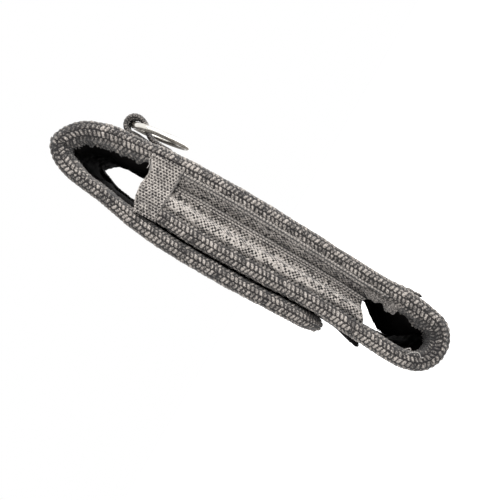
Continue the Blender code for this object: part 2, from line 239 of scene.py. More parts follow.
def strip_line():
    """The strip's middle line, from the mouth round to the flap's end."""
    hem = corners("mouth_hem")
    top = hem[hem[:, 2] > hem[:, 2].max() - 0.3]
    chain = [np.array([top[:, 1].mean(), top[:, 2].max()])]
    for node in ("side_binding_right", "crown_binding_right", "flap_binding"):
        chain += chained(side_points(node), chain[-1])
    flap = corners("flap_binding")
    return chain + [flap[flap[:, 2].argmin(), 1:]]


STRIP = Line(strip_line())
BOTTOM_S = STRIP.s[np.argmin(STRIP.p[:, 1])]
TOP_S = STRIP.s[np.argmax(STRIP.p[:, 1])]
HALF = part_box("side_binding_right")[1].x / MM
PANEL_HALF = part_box("body_fabric")[1].x / MM
THICK = STRIP.p[:, 1].min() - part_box("side_binding_right")[0].z / MM  # half the bound edge's thickness
FACE = THICK - TAPE - 0.3  # the padded panel's faces, from the middle line
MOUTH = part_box("mouth_hem")[1].z / MM
HINGES = {j["name"]: np.array(j["pos_m"][1:]) / MM for j in frame["joints"]}
CUT_S = TOP_S  # the swept pieces meet at the top of the crown


def on_front(z):
    return STRIP.at_height(z, 0, BOTTOM_S)


def on_back(z):
    return STRIP.at_height(z, BOTTOM_S, TOP_S)


def on_flap(z):
    return STRIP.at_height(z, TOP_S, STRIP.length)


def ripple(a, b, size, seed, waves=7):
    """Smooth seeded unevenness of about -1 to 1 over two coordinates, its waves about size long."""
    rng = np.random.default_rng(SEED + seed)
    total = 0
    for _ in range(waves):
        turn, phase = rng.uniform(0, 2 * math.pi, 2)
        k = 2 * math.pi / size * rng.uniform(0.6, 1.5)
        total = total + np.sin(k * (a * math.cos(turn) + b * math.sin(turn)) + phase)
    return total / math.sqrt(2 * waves)


def chance(i, j, seed):
    """A seeded random number from 0 to 1 for each whole pair i, j."""
    table = np.random.default_rng(SEED + seed).random((1024, 64))
    return table[np.asarray(i, int) % 1024, np.asarray(j, int) % 64]


def ease(x, low, high):
    """Smooth step from 0 at low to 1 at high."""
    t = np.clip((x - low) / (high - low), 0, 1)
    return t * t * (3 - 2 * t)


def ribbed(along, across, seed, rib=RIB, column=COLUMN):
    """Height and tone of ribbed tape: slanted grains in columns that lean each way in turn."""
    number = np.floor(across / column)
    within = across / column - number
    lean = np.where(number % 2 == 0, 1, -1)
    phase = along / rib + lean * RIB_SLANT * (within - 0.5) + 0.5 * (number % 2)
    grain = np.floor(phase)
    height = np.sin(math.pi * (phase - grain)) ** 0.9 * (1 - (2 * within - 1) ** 6)
    tone = chance(grain, number, seed)
    fine = chance(np.floor(4 * phase), np.floor(5 * across / column) + 32, seed + 1)
    height = height * (0.78 + 0.36 * tone)
    return height, height**1.6 * (0.48 + 0.42 * tone + 1.15 * (fine - 0.42))


def netted(along, across, seed):
    """Height and tone of netted cloth: light threads round small dark holes, staggered row by row."""
    row = np.floor(across / NET[1])
    place = along / NET[0] + 0.5 * (row % 2)
    column = np.floor(place)
    along_hole = (place - column - 0.5) / 0.4
    across_hole = (across / NET[1] - row - 0.5) / 0.37
    round_hole = np.sqrt(np.clip(1 - along_hole**2 - across_hole**2, 0, 1))
    hole = round_hole * (0.55 + 0.45 * chance(column, row, seed))
    fibre = chance(np.floor(3 * place), row, seed + 1)
    return 1 - hole, (1 - hole) ** 1.8 * (0.4 + 0.75 * fibre)


# Meshes


def face_outwards(mesh):
    bm = bmesh.new()
    bm.from_mesh(mesh)
    bmesh.ops.recalc_face_normals(bm, faces=bm.faces)
    bm.to_mesh(mesh)
    bm.free()


def carry(mesh, name, kind, values):
    """Stores a vector or a number at each vertex, for the materials to read."""
    attribute = mesh.attributes.new(name, kind, "POINT")
    field = "vector" if kind == "FLOAT_VECTOR" else "value"
    attribute.data.foreach_set(field, np.asarray(values, np.float32).reshape(-1))


def grid_mesh(name, grid, weave, fine=None):
    """Mesh through a grid of points, rows by columns.

    The last column is joined to the first, and the ends are capped. The materials read weave, which
    is (along, across, tone) at each point, and fine, which is the share of close weave there.
    """
    rows, columns = grid.shape[:2]
    index = np.arange(rows * columns).reshape(rows, columns)
    joined = np.c_[index, index[:, :1]]
    quads = np.stack([joined[:-1, :-1], joined[:-1, 1:], joined[1:, 1:], joined[1:, :-1]], -1)
    faces = quads.reshape(-1, 4).tolist()
    faces += [index[0, ::-1].tolist(), index[-1].tolist()]
    mesh = bpy.data.meshes.new(name)
    mesh.from_pydata((grid.reshape(-1, 3) * MM).tolist(), [], faces)
    face_outwards(mesh)
    carry(mesh, "weave", "FLOAT_VECTOR", np.stack(np.broadcast_arrays(*weave), -1))
    if fine is not None:
        carry(mesh, "fine", "FLOAT", fine)
    mesh.shade_smooth()
    mesh.set_sharp_from_angle(angle=math.radians(80))
    return mesh


def piece(name, mesh, look, replaced=(), body=None):
    """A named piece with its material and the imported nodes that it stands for."""
    obj = bpy.data.objects.new(name, mesh)
    bpy.context.scene.collection.objects.link(obj)
    mesh.materials.append(look)
    if replaced:
        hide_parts(*replaced)
    if body:
        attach(obj, body)
    return obj


def across_hinge(obj):
    """Bakes a piece's placement into its mesh; the piece is not bent over the hinge."""
    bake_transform(obj)


def over_lift(obj):
    across_hinge(obj)


def over_fold(obj):
    across_hinge(obj)


# Binding


class Edge:
    """An edge to bind: where it runs (s, x), which way is in from it, and the length along it."""

    def __init__(self, s, x, in_s, in_x):
        self.s, self.x, self.in_s, self.in_x = (np.asarray(v, float) for v in (s, x, in_s, in_x))
        step = np.hypot(np.diff(self.s), np.diff(self.x))
        self.along = np.r_[0, np.cumsum(step)]

    def points(self, inward, out):
        """Points in from the edge by inward and off the middle line by out, a row for each place."""
        s = self.s[:, None] + inward * self.in_s[:, None]
        x = self.x[:, None] + inward * self.in_x[:, None]
        return np.concatenate([x[..., None], STRIP.at(s, out)], -1)


def side_edge(start, end, side, spacing=0.3):
    s = np.arange(start, end + spacing / 2, spacing)
    return Edge(s, side * HALF + 0 * s, 0 * s, -side + 0 * s)


def flap_edge(start, spacing=0.3):
    """Down one side of the flap, round its end and up the other side."""
    turn = STRIP.length - CORNER
    straight = np.arange(start, turn, spacing)
    angle = np.arange(0, math.pi / 2, spacing / CORNER)
    end = np.arange(HALF - CORNER, 0, -spacing)
    s = np.r_[straight, turn + CORNER * np.sin(angle), STRIP.length + 0 * end]
    x = np.r_[HALF + 0 * straight, HALF - CORNER + CORNER * np.cos(angle), end]
    in_s = np.r_[0 * straight, -np.sin(angle), -1 + 0 * end]
    in_x = np.r_[-1 + 0 * straight, -np.cos(angle), 0 * end]
    back = slice(None, None, -1)
    return Edge(np.r_[s, s[back]], np.r_[x, -x[back]], np.r_[in_s, in_s[back]], np.r_[in_x, -in_x[back]])


def leg_slack(s):
    """How far the binding's inner leg hangs off the padding at lengths s."""
    crown = ease(s, on_back(109.5), on_back(117)) * (1 - 0.9 * ease(s, TOP_S - 4, TOP_S + 7))
    crown = crown * (1 - ease(s, TOP_S + 7, TOP_S + 16))
    corner = ease(s, BOTTOM_S - 9, BOTTOM_S + 5) * (1 - ease(s, on_back(17), on_back(29)))
    return 0.05 + 1.75 * crown + 1.9 * corner


def fold_section(leg, fine=0.3, coarse=0.45):
    """Outside of a folded binding: width across, depth in from the edge, out, and the way it faces."""
    quarter = THICK * math.pi / 2
    reach = quarter + leg - THICK
    flat = np.arange(quarter + coarse, reach, coarse)
    half = np.r_[np.arange(0, quarter, fine), flat, reach]
    across = np.r_[-half[:0:-1], half]
    angle = np.clip(across / THICK, -math.pi / 2, math.pi / 2)
    inward = THICK - THICK * np.cos(angle) + np.maximum(0, np.abs(across) - quarter)
    return across, inward, THICK * np.sin(angle), angle


def binding(name, edge, seed, leg=TAPE_LEG, relief=ribbed, height=RIB_HEIGHT, squeeze=None):
    """Closed mesh of tape folded over an edge, its ribs standing up from the cloth."""
    across, inward, out, angle = fold_section(leg)
    along = edge.along[:, None]
    rise, tone = relief(along, across[None, :], seed)
    reach = np.abs(across).max()
    worn = ripple(along, across[None, :], 11, seed + 2)
    lift = height * (rise - 0.5) + 0.12 * worn
    lift = lift - 0.5 * ease(np.abs(across), reach - 0.5, reach)
    lumps = 1 + 0.25 * ripple(along, 0 * along, 7, seed + 4)
    lumps = lumps + 0.22 * ripple(along, across[None, :], 3.0, seed + 6)
    loose = ease(-across, 0.8, reach - 1.5)[None, :] * leg_slack(edge.s)[:, None] * lumps
    ragged = 0.45 * ripple(along, 0 * along, 4, seed + 5)
    ragged = ragged * ease(np.abs(across), reach - 3, reach)[None, :]
    inward = inward[None, :] - lift * np.cos(angle) + ragged
    under_flap = ease(edge.s, on_front(104), on_front(98))
    under_flap = under_flap * (1 - ease(edge.s, on_front(42), on_front(36)))
    pressed = 0.45 * under_flap[:, None] * ease(across, 0.8 * THICK, 1.25 * THICK)[None, :]
    out = out[None, :] + lift * np.sin(angle) - loose - pressed
    wall = FACE + 0.1
    lining_in = np.array([leg, leg / 2, TAPE, TAPE, leg / 2, leg])
    lining_out = np.array([wall, wall, wall, -wall, -wall, -wall])
    rows = len(edge.along)
    inward = np.c_[inward, np.tile(lining_in, (rows, 1))]
    out = np.c_[out, np.tile(lining_out, (rows, 1))]
    if squeeze is not None:
        out = squeeze(edge.s[:, None] + inward * edge.in_s[:, None], out)
    # Painted shade: the tape is darker on its inner leg and round the strip's bends; it is also darker
    # towards the flap's end.
    inner_leg_shade = ease(-across, 0.4 * THICK, 1.3 * THICK)[None, :]
    dark = 1 - 0.45 * STRIP.bend(edge.s) - 0.3 * ease(edge.s, STRIP.length - 12, STRIP.length - 4)
    tone = tone * (1 + 0.15 * worn) * dark[:, None] * (1 - 0.4 * inner_leg_shade)
    tone = np.c_[tone, np.zeros((rows, len(lining_in)))]
    across = np.r_[across, lining_out][None, :]
    return grid_mesh(name, edge.points(inward, out), (along, across, tone))


def flap_end_shape(s, out):
    """Rounds the flap's end over, its outer side most, and presses its inner leg flat."""
    near_end = ease(s, STRIP.length - 8, STRIP.length)
    above_mouth = 1 - ease(s, on_flap(116), on_flap(106))
    pressed = (0.4 + 0.5 * above_mouth) * ease(s, TOP_S + 8, TOP_S + 18) * ease(-out, 0.8, THICK)
    return out + pressed - near_end * np.where(out > 0, 0.8, 0.1) * np.abs(out) / THICK


def seam(edge, face, inward=LEG_STITCHES, pitch=3.2, length=2.4, squeeze=None):
    """Stitches along a binding, on one of its faces: a row of points for each."""
    starts = np.arange(1.0, edge.along[-1] - length, pitch)
    marks = starts[:, None] + np.linspace(0, length, 6)[None, :]
    dip = 0.22 - 0.3 * (2 * np.linspace(0, 1, 6) - 1) ** 4
    values = [np.interp(marks, edge.along, v) for v in (edge.s, edge.x, edge.in_s, edge.in_x)]
    s, x = values[0] + inward * values[2], values[1] + inward * values[3]
    out = face * (THICK - 0.18 + dip) + 0 * s
    if squeeze is not None:
        out = squeeze(s, out)
    return np.concatenate([x[..., None], STRIP.at(s, out)], -1)


def thread_mesh(name, stitches, radius=0.2, sides=6):
    """Round threads along rows of points, one tube for each row, all in one mesh."""
    verts, faces, weave = [], [], []
    turn = np.linspace(0, 2 * math.pi, sides, endpoint=False)
    for path in stitches:
        tangent = np.gradient(path, axis=0)
        tangent /= np.linalg.norm(tangent, axis=1)[:, None]
        guide = np.eye(3)[np.argmin(np.abs(tangent).sum(axis=0))]
        first = np.cross(tangent, guide)
        first /= np.linalg.norm(first, axis=1)[:, None]
        second = np.cross(tangent, first)
        taper = np.ones(len(path))
        taper[[0, -1]] = 0.45
        ring = first[:, None] * np.cos(turn)[:, None] + second[:, None] * np.sin(turn)[:, None]
        tube = path[:, None] + radius * taper[:, None, None] * ring
        base = len(verts)
        verts += tube.reshape(-1, 3).tolist()
        run = np.r_[0, np.cumsum(np.linalg.norm(np.diff(path, axis=0), axis=1))]
        weave += [(r, t, 1.0) for r in run for t in turn * radius]
        for i in range(len(path) - 1):
            for k in range(sides):
                a, b = base + i * sides + k, base + i * sides + (k + 1) % sides
                faces.append((a, b, b + sides, a + sides))
        faces.append(tuple(base + k for k in range(sides))[::-1])
        faces.append(tuple(base + (len(path) - 1) * sides + k for k in range(sides)))
    mesh = bpy.data.meshes.new(name)
    mesh.from_pydata((np.array(verts) * MM).tolist(), [], faces)
    face_outwards(mesh)
    carry(mesh, "weave", "FLOAT_VECTOR", weave)
    mesh.shade_smooth()
    return mesh


# Padded panels and lining


def panel_half(s, half, corner, end):
    """Half the width at s, where the flap's end is rounded."""
    over = np.clip(s - (end - corner), 0, corner * 0.998)
    return half - corner + np.sqrt(corner**2 - over**2)


def strip_sheet(name, s, half, top, bottom, columns=96):
    """Closed sheet along the strip between two heights, each a function of s and x."""
    share = np.linspace(-1, 1, columns)[None, :]
    x = share * half[:, None]
    s = np.broadcast_to(s[:, None], x.shape)
    upper = np.concatenate([x[..., None], STRIP.at(s, top(s, x))], -1)
    lower = np.concatenate([x[..., None], STRIP.at(s, bottom(s, x))], -1)[:, ::-1]
    grid = np.concatenate([upper, lower], 1)
    along = np.concatenate([s, s[:, ::-1]], 1)
    across = np.concatenate([x, x[:, ::-1] + 200], 1)
    return grid_mesh(name, grid, (along, across, 0 * along + 1))


def between_legs(x):
    """1 in the middle of a panel, easing to 0 at the binding's inner edge."""
    return 1 - ease(np.abs(x), PANEL_HALF - TAPE_LEG - 9, PANEL_HALF - TAPE_LEG + 2)


def outer_face(s, x):
    """Padded cloth between the bindings: fullest on the flap, flat under the strap and the patch."""
    flap = ease(s, TOP_S - 4, TOP_S + 14)
    bottom = ease(s, BOTTOM_S - 18, BOTTOM_S - 4) * (1 - ease(s, BOTTOM_S + 4, BOTTOM_S + 14))
    full = 0.1 + 0.9 * flap + 0.5 * bottom
    pucker = 0.06 * ripple(s, x, 7, 21) + 0.2 * flap * ripple(s, x, 26, 22)
    return FACE + (full + pucker) * between_legs(x)


def loose_lining(s, x):
    """The lining's inner face. It hangs off the padding inside the crown and in the bottom corner."""
    heights, depths = np.array(CROWN_HANG).T
    crown = np.interp(s, on_back(heights), depths) * (1 - ease(s, TOP_S - 2, TOP_S + 6))
    on_pouch = 1 - ease(s, TOP_S + 4, TOP_S + 8)
    tuck = 0.9 * np.exp(-(((s - on_flap(129.5)) / 1.1) ** 2))
    heights, depths = np.array(CORNER_HANG).T
    corner = np.interp(s, on_back(heights), depths)
    share = np.abs(x) / (PANEL_HALF - 2)
    folds = 0.25 * ripple(s, x, 14, 31) + 0.12 * ripple(s, x, 5, 32)
    creases = 0.35 * np.abs(ripple(s, x, 9, 33))
    hang = crown * (1 - share**8).clip(0, 1) + corner * (1 - share**3).clip(0, 1)
    loose = ((0.5 + folds + 0.15 * creases * crown) * on_pouch - 0.3 + tuck).clip(-0.3, 2)
    return -FACE - hang * (1 + 0.12 * folds) - (1 - share**8).clip(0, 1) * loose


def padding(s, x):
    """The padded panel's inner face."""
    return 0 * s - FACE + LINING


def just_under_padding(s, x):
    """The lining's outer face."""
    return padding(s, x) - 0.05


def swept_panels(word, start, end, corner, bend, replaced):
    """The padded panel and its lining on one stretch of the strip."""
    s = np.r_[np.arange(start, end, 0.9), end]
    half = panel_half(s, PANEL_HALF, corner, end) if corner else np.full(len(s), PANEL_HALF)
    linings = [node for node in replaced if node.endswith("lining")]
    others = [node for node in replaced if node not in linings]
    name = "padded_panel_" + word
    padded = piece(name, strip_sheet(name, s, half, outer_face, padding), LOOKS["cloth"], others)
    bend(padded)
    name = "lining_" + word
    mesh = strip_sheet(name, s, half - 0.3, just_under_padding, loose_lining)
    bend(piece(name, mesh, LOOKS["lining"], linings))


# Gusset and hems


def over_binding(lap):
    """Depth of the binding's rounded face, lap in from its inner side, less room for the cloth on it."""
    from_middle = np.clip(np.abs(THICK - lap), 0, THICK)
    return THICK - np.sqrt(THICK**2 - from_middle**2) - 0.4


def gusset_mesh(name, side, low, high):
    """One gusset: a folded sheet between the front and back bindings, with a netted hem at its mouth."""
    share, depth = np.array(smooth_line(GUSSET_PROFILE)).T
    below_hem = 1 - (HEM + 1.5) / (high - low)
    rows = np.r_[np.linspace(0, below_hem, 240, endpoint=False), np.linspace(below_hem, 1, 84)][:, None]
    level = low + (high - low) * rows
    top_hem = ease(level, high - HEM - 0.25, high - HEM + 0.25)
    laps = top_hem * HEM_LAP[0], GUSSET_LAP + top_hem * (HEM_LAP[1] - GUSSET_LAP)
    room = 0.1
    columns = np.linspace(0, 1, 120)[None, :]
    z = level
    for _ in range(2):
        front = STRIP.at(on_front(z), -THICK)[..., 0] + room
        back = STRIP.at(on_back(z), -THICK)[..., 0] - room
        y = front - laps[0] + columns * (back - front + laps[0] + laps[1])
        v = (y - front) / (back - front)
        near_low, near_high = 1 - ease(level, low, low + 12), ease(level, high - 9, high)
        z = level + near_low * np.interp(v, *np.array(GUSSET_LOW).T)
        z = z + near_high * np.interp(v, *np.array(GUSSET_HIGH).T)
    order = np.argsort(share)
    fold = np.interp(v, share[order], depth[order])
    middle = np.sin(math.pi * np.clip(v, 0, 1))
    fold = fold * (1 - 0.3 * ease(z, high - 16, high)) + 0.4 * middle * ripple(z, 2 * y, 16, 41 + side)
    fold = fold + 0.1 * ripple(z, y, 5, 43 + side)
    fold = np.where(v < 0, over_binding(front - y), fold)
    fold = np.where(v > 1, over_binding(y - back), fold)
    bridge = np.minimum(fold, 0.2 + 1.4 * middle**2)
    fold = fold + top_hem * (bridge - fold)
    kernel = np.hanning(7)[1:-1] / np.hanning(7)[1:-1].sum()
    padded = np.pad(fold, ((0, 0), (2, 2)), mode="edge")
    fold = sum(k * padded[:, i : i + fold.shape[1]] for i, k in enumerate(kernel))
    run = np.cumsum(np.hypot(np.gradient(fold, axis=1), np.gradient(y, axis=1)), axis=1)
    net_rise, net_tone = netted(z, run, 47 + side)
    # Painted shade in the folds, partly the cloth's own tone; the cloth is also darker towards its bottom
    # end.
    fold_shade_tone = np.interp(v, *np.array(FOLD_SHADE_TONE).T) * (1 - 0.35 * (1 - ease(z, low, low + 26)))
    # The hem's tone varies at random and is darker towards the front binding.
    worn = 0.98 + 0.16 * ripple(z, y, 4, 45) - 0.3 * (1 - ease(v, -0.1, 0.35))
    rise, tone = 1.5 * net_rise * top_hem, fold_shade_tone + top_hem * (worn * net_tone - fold_shade_tone)
    close = 1 - top_hem + 0 * y
    lines = [v - cord for cord in CORDS]
    lines = [line * (back - front) for line in lines] + [y - back - lap for lap in (-0.2, 0.75)]
    for number, line in enumerate(lines):
        keep = 1 - top_hem * 0.8
        ridge = np.exp(-((line / 0.26) ** 2)) * keep
        twist = 0.55 + 0.45 * np.sin(2 * math.pi * (z / 1.15 + 0.37 * number))
        rise = rise + 2.2 * ridge * twist
        # Painted shade in the narrow grooves beside each cord and edge line.
        groove_shade = np.exp(-(((np.abs(line) - 0.5) / 0.2) ** 2)) * keep
        tone = (tone + (1.5 * twist - tone) * ridge) * (1 - 0.75 * groove_shade)
        close = close * (1 - ridge)
    lip = ease(level, high - 0.9, high) * (0.85 + 0.15 * ripple(z, y, 1.2, 49))
    tone = np.maximum(tone, 0.9 * lip)
    # Near its bottom end, towards the back, the cloth is ragged and darker.
    ragged_low_end = (1 - ease(level, low, low + 4)) * ease(v, 0.55, 0.8)
    tone = tone * (1 - 0.55 * ragged_low_end)
    start = np.exp(-(((level - high + HEM + 0.4) / 0.3) ** 2))
    tone = tone * (1 - 0.6 * start)
    fold = fold - 0.2 * rise + 0.25 * ragged_low_end * ripple(z, y, 1.4, 50)
    outer = np.stack([side * (HALF - fold), y, z], -1)
    inner_columns = slice(None, None, -3)
    inner = outer[:, inner_columns] - np.array([side * 0.9, 0, 0])
    grid = np.concatenate([outer, inner], 1)
    across = np.concatenate([run, run[:, inner_columns] + 50], 1)
    along = np.concatenate([z, z[:, inner_columns]], 1)
    tone = np.concatenate([tone, 0.4 * tone[:, inner_columns]], 1)
    fine = np.concatenate([close, 1 + 0 * y[:, inner_columns]], 1)
    return grid_mesh(name, grid, (along, across, tone), fine=fine)


def tuck_mesh(name, side):
    """Crumpled end of the gusset's cloth, tucked in along the back binding at the bottom corner."""
    z = np.linspace(35.0, 19.5, 90)[:, None]
    turn = np.linspace(0, 2 * math.pi, 48, endpoint=False)[None, :]
    size = np.interp(z, *np.array(TUCK).T)
    bumps = 1 + 0.14 * ripple(z, 2.5 * turn, 2.6, 56 + side) + 0.1 * ripple(z, 4 * turn, 1.0, 57)
    back = STRIP.at(on_back(z), -THICK)[..., 0]
    y = back + 0.9 - size + size * bumps * np.cos(turn)
    x = HALF - 3.4 + 1.1 * size * bumps * np.sin(turn)
    grid = np.stack([side * x, y, z + 0 * y], -1)
    # The tuck's low tone is painted shade: it lies in the bottom corner against the back binding.
    tone = 0.34 + 0.2 * ripple(z, 2 * turn, 0.8, 58)
    return grid_mesh(name, grid, (z, turn * 2, tone), fine=0.25 + 0 * y)


def mouth_hem_mesh():
    """The netted hem over the front panel's top edge, its two ends rounded."""
    across, inward, out, angle = fold_section(HEM + 0.3)
    middle = np.arange(-HALF + THICK, HALF - THICK, 0.3)
    turn = np.linspace(0, 1.5, 14)[1:]
    x = np.r_[(-HALF + THICK - THICK * np.sin(turn))[::-1], middle, HALF - THICK + THICK * np.sin(turn)]
    thin = np.r_[np.cos(turn)[::-1], 1 + 0 * middle, np.cos(turn)][:, None]
    reached = np.r_[0, np.cumsum(np.hypot(np.diff(x), THICK * np.diff(thin[:, 0])))][:, None]
    rise, tone = netted(reached, across[None, :], 51)
    lift = 0.3 * (rise - 0.7) + 0.1 * ripple(reached, across[None, :], 9, 52)
    softer = 0.7 * (1 - ease(inward, 0, 2.5))
    inward = inward[None, :] - lift * np.cos(angle)
    out = (out * (1 - softer / THICK) + lift * np.sin(angle)) * thin
    wall = (FACE + 0.1) * thin
    inward = np.c_[inward, np.tile([HEM, TAPE, TAPE, HEM], (len(x), 1))]
    out = np.c_[out, wall * np.array([1, 1, -1, -1])]
    points = STRIP.at(inward, out)
    grid = np.concatenate([np.broadcast_to(x[:, None, None], (*points.shape[:2], 1)), points], -1)
    weave = (reached, np.r_[across, 0, 0, 0, 0][None, :], np.c_[tone, np.zeros((len(x), 4))])
    return grid_mesh("mouth_hem_cloth", grid, weave)


# Flat layers: patches, strap and webbing


def layer_mesh(name, line, half, thick, relief, spacing=0.45, seed=0, rounding=0.4):
    """Closed flat layer along a line, with relief(along, x) as (height, tone) on both faces."""
    s = np.arange(0, line.length, spacing)
    s = np.r_[s, line.length][:, None]
    x = np.arange(-half, half + spacing / 2, spacing)[None, :]
    rise, tone = relief(s, x)
    near_side = ease(half - np.abs(x), 0, rounding * 2)
    near_end = ease(np.minimum(s, line.length - s), 0, rounding * 2)
    body = thick / 2 * (0.35 + 0.65 * np.minimum(near_side, near_end))
    wave = 0.1 * ripple(s, x, 12, seed + 61)
    top = line.at(s + 0 * x, body + rise + wave)
    low = line.at(s + 0 * x, -body - rise + wave)
    xs = np.broadcast_to(x[..., None], (*top.shape[:2], 1))
    upper, lower = np.concatenate([xs, top], -1), np.concatenate([xs, low], -1)[:, ::-1]
    grid = np.concatenate([upper, lower], 1)
    along = s + 0 * np.concatenate([x, x], 1)
    across = np.concatenate([x, x[:, ::-1] + 90], 1)
    return grid_mesh(name, grid, (along, across, np.concatenate([tone, tone[:, ::-1]], 1)))


def pile_relief(depth, seed):
    """Short matted pile: uneven tufts."""

    def relief(s, x):
        tuft = chance(np.floor(s / 0.45), np.floor(x / 0.45) + 64, seed)
        return depth * (tuft - 0.5) + 0.5 * depth * ripple(s, x, 2.2, seed), 0.2 + 0.8 * tuft

    return relief


def webbing_relief(seed, rib=1.2, column=1.9, height=0.22, shade=1.0):
    """Woven webbing: fine slanted ribs."""

    def relief(s, x):
        rise, tone = ribbed(s + 0 * x, x + 0 * s, seed, rib, column)
        return height * (rise - 0.7), shade * tone

    return relief


def loop_line():
    """Middle line of the webbing that holds the ring: up the back, round the eye and down again."""
    eye = HINGES["ring_swing"]
    low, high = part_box("ring_loop")
    reach = high.z / MM - eye[1] - 0.6
    foot = low.z / MM
    sewn = foot + LOOP_SEWN
    inner = low.y / MM + LOOP_THICK / 2
    outer = inner + LOOP_THICK + 0.2
    bend = (outer + 0.1 * (eye[0] + reach - outer), foot + 0.56 * (eye[1] - foot))
    face = STRIP.at(on_back(sewn), FACE)[0]
    turn = np.linspace(-0.35, math.pi + 0.1, 9)
    around = [(eye[0] - reach * math.cos(a), eye[1] + reach * math.sin(a)) for a in turn]
    return Line([(inner, foot), (face + 0.3 + LOOP_THICK / 2, sewn)] + around + [bend, (outer, foot)])


def ring_mesh(name):
    """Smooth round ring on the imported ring's own circle, with a slight weld on one side."""
    co = corners("carry_ring")
    centre = co.mean(axis=0)
    plane = np.linalg.svd(co - centre, full_matrices=False)[2]
    flat = np.hypot((co - centre) @ plane[0], (co - centre) @ plane[1])
    radius, wire = (flat.max() + flat.min()) / 2, (flat.max() - flat.min()) / 2
    up = plane[0] if abs(plane[0][2]) > abs(plane[1][2]) else plane[1]
    up = up * np.sign(up[2])
    normal = plane[2] * np.sign(plane[2][1])
    across = np.cross(up, normal)
    major = np.linspace(0, 2 * math.pi, 160, endpoint=False)[:, None]
    minor = np.linspace(0, 2 * math.pi, 32, endpoint=False)[None, :]
    from_weld = np.abs((major - 4.3 + math.pi) % (2 * math.pi) - math.pi) * radius
    weld = 0.05 * np.exp(-((from_weld / 0.5) ** 2))
    thick = wire * (1 + weld + 0.004 * ripple(major * radius, minor, 4, 71))
    reach = radius + thick * np.cos(minor)
    outwards = across * np.cos(major)[..., None] + up * np.sin(major)[..., None]
    grid = centre + reach[..., None] * outwards + (thick * np.sin(minor))[..., None] * normal
    grid = np.concatenate([grid, grid[:1]])
    along = np.concatenate([major, major[:1] + 2 * math.pi]) * radius + 0 * minor
    mesh = grid_mesh(name, grid, (along, minor * wire + 0 * along, 0 * along + 1))
    bm = bmesh.new()
    bm.from_mesh(mesh)
    bmesh.ops.delete(bm, geom=[f for f in bm.faces if len(f.verts) > 4], context="FACES_ONLY")
    bmesh.ops.remove_doubles(bm, verts=bm.verts, dist=1e-6)
    bmesh.ops.recalc_face_normals(bm, faces=bm.faces)
    bm.to_mesh(mesh)
    bm.free()
    mesh.shade_smooth()
    return mesh


# Materials


class Look:
    """A material in the making: adds nodes, linking the sockets and setting the values it is given."""

    def __init__(self, name, **settings):
        self.material = bpy.data.materials.new(name)
        self.material.use_nodes = True
        self.tree = self.material.node_tree
        self.shader = self.tree.nodes["Principled BSDF"]
        self.set(self.shader, {k.replace("_", " "): v for k, v in settings.items()})

    def set(self, node, inputs):
        for key, value in inputs.items():
            socket = node.inputs[key]
            if isinstance(value, bpy.types.NodeSocket):
                self.tree.links.new(value, socket)
            else:
                socket.default_value = value

    def node(self, kind, inputs=None, **settings):
        """Adds a node and returns all its outputs."""
        node = self.tree.nodes.new("ShaderNode" + kind)
        for key, value in settings.items():
            setattr(node, key, value)
        self.set(node, inputs or {})
        return node.outputs

    def add(self, kind, output=0, inputs=None, **settings):
        """Adds a node and returns one of its outputs."""
        return self.node(kind, inputs, **settings)[output]

    def math(self, operation, a, b=0.0):
        return self.add("Math", inputs={0: a, 1: b}, operation=operation)

    def mix(self, share, a, b):
        """Colour between a and b."""
        return self.add("Mix", 2, {0: share, 6: a, 7: b}, data_type="RGBA")

    def noise(self, where, scale, detail=2.0):
        return self.add("TexNoise", inputs={"Vector": where, "Scale": scale, "Detail": detail})

    def spread(self, value, low, high, to_low=0.0, to_high=1.0):
        """Value stretched so that low to high becomes to_low to to_high."""
        inputs = {"Value": value, 1: low, 2: high, 3: to_low, 4: to_high}
        return self.add("MapRange", inputs=inputs)

    def weave(self):
        """(coordinates in the cloth's plane, tone of the yarn) that the mesh carries."""
        vector = self.add("Attribute", "Vector", attribute_name="weave")
        flat = self.add("VectorMath", inputs={0: vector, 1: (1, 1, 0)}, operation="MULTIPLY")
        return flat, self.node("SeparateXYZ", {0: vector})

    def finish(self, colour, height=None, strength=0.5, distance=0.0002, roughness=None):
        self.set(self.shader, {"Base Color": colour})
        if roughness is not None:
            self.set(self.shader, {"Roughness": roughness})
        if height is not None:
            inputs = {"Height": height, "Strength": strength, "Distance": distance}
            self.set(self.shader, {"Normal": self.add("Bump", inputs=inputs)})
        return self.material


def rgb(r, g, b):
    return (r, g, b, 1.0)


